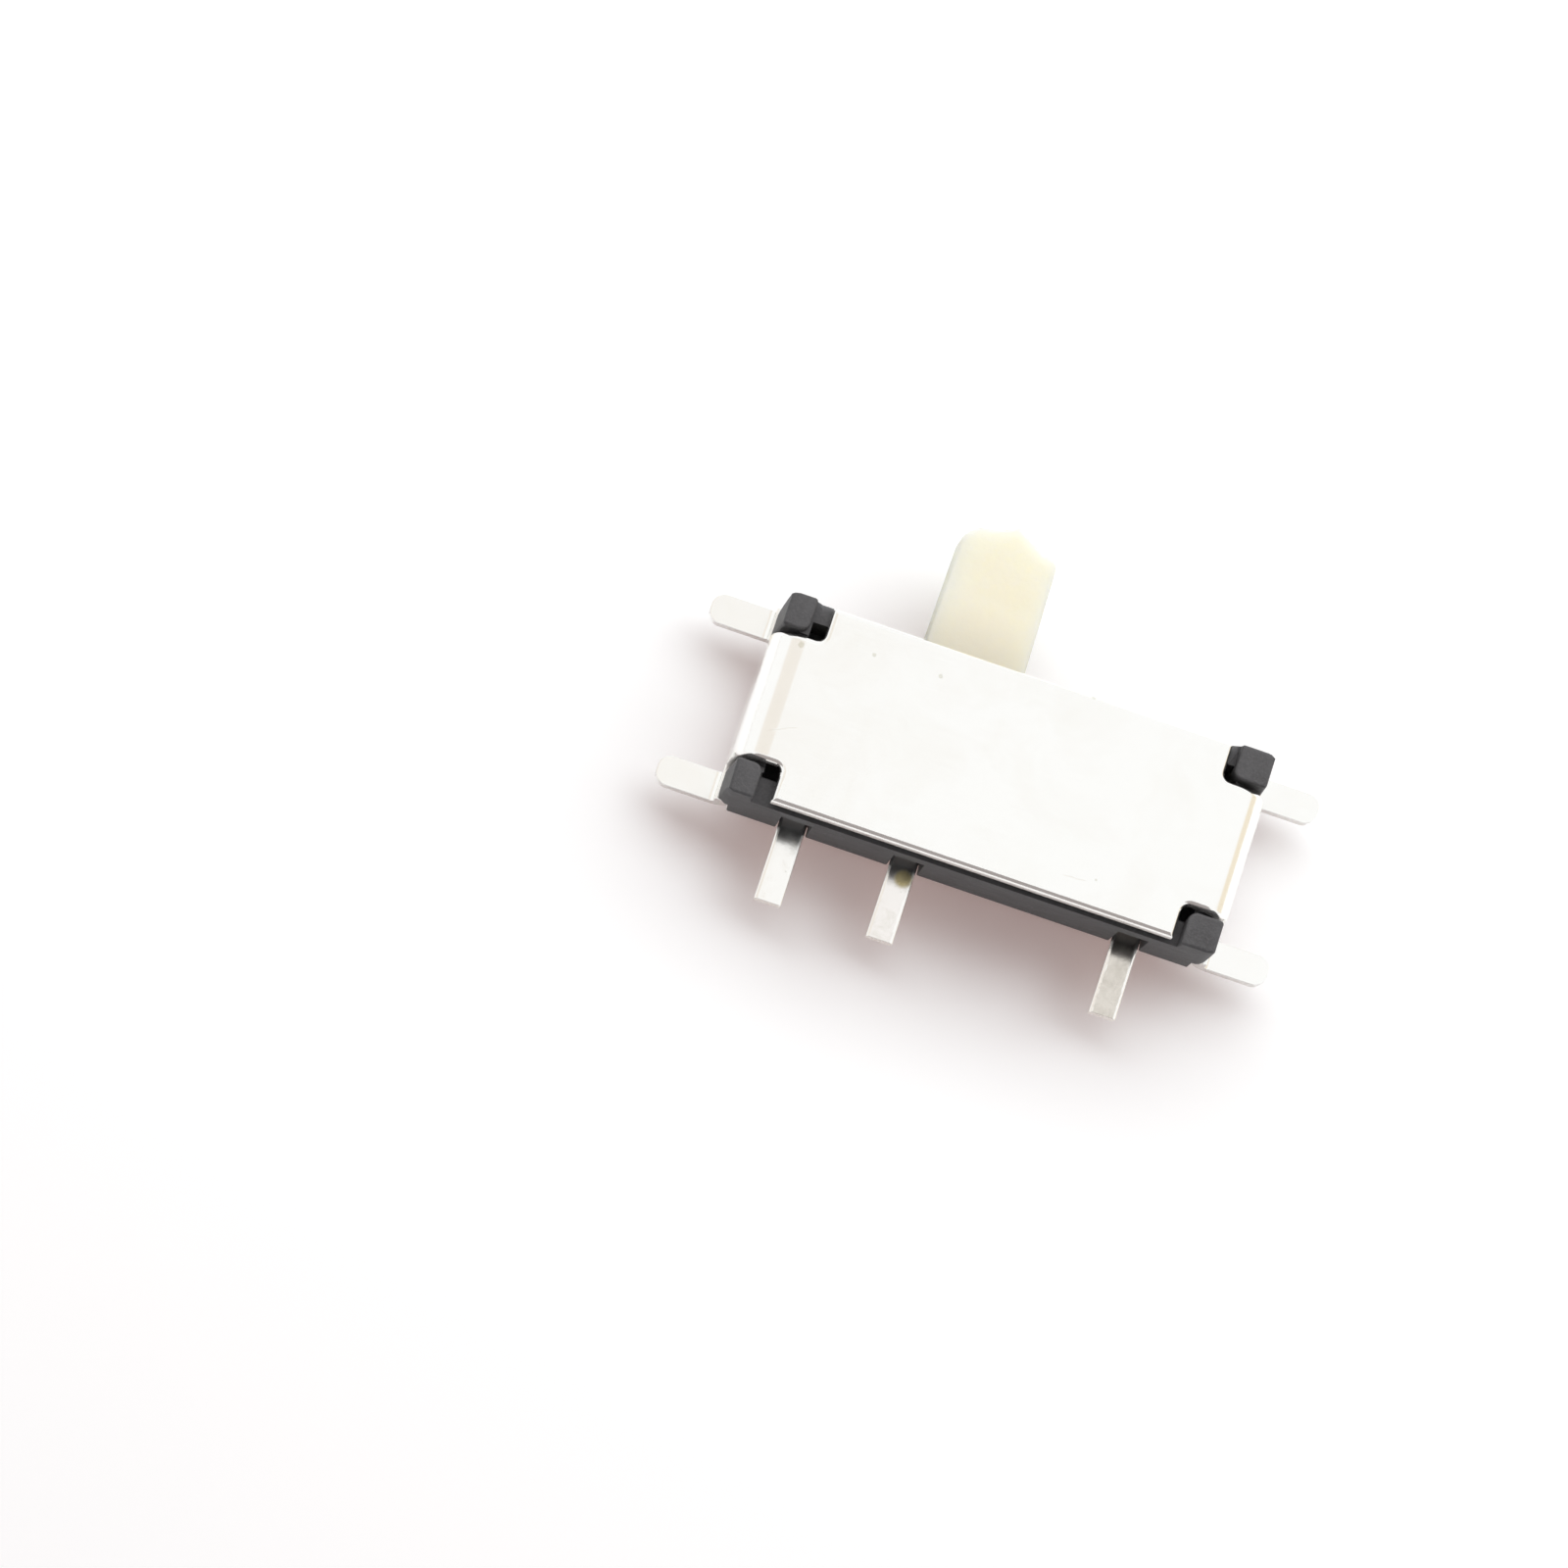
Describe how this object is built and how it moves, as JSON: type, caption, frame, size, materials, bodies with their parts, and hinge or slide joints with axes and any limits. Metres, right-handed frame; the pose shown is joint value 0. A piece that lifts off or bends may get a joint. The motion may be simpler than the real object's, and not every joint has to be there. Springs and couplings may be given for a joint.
{
  "type": "surface-mount slide switch",
  "caption": "Low rectangular surface-mount slide switch with a folded metal cover over a black base, a flat ivory knob that slides along one long side, and flat solder legs.",
  "frame": {"origin": "middle of the housing's length and depth, on the board's surface, which is the flat underside of the housing", "axes": "+X along the knob's travel, with the widely spaced terminal at +X; +Y out of the rear wall, where the knob stands out; +Z away from the board"},
  "size_m": [0.0082, 0.0055, 0.0019],
  "materials": {
    "black_plastic": "moulded, lightly textured, dark grey to black",
    "plated_steel": "bright plated sheet, faintly marked",
    "tinned_strip": "bright tin plate with rolled long edges",
    "ivory_plastic": "moulded, slightly translucent ivory",
    "spring_bronze": "rolled spring strip"
  },
  "bodies": {
    "body": {"housing": "black_plastic", "cover": "plated_steel", "terminal_1": "tinned_strip", "terminal_2": "tinned_strip", "terminal_3": "tinned_strip"},
    "knob": {"slider": "ivory_plastic", "moving_contact": "spring_bronze"}
  },
  "joints": [
    {"name": "knob_travel", "type": "slide", "parent": "body", "child": "knob", "axis": [1, 0, 0], "range_m": [0, 0.0015]}
  ]
}
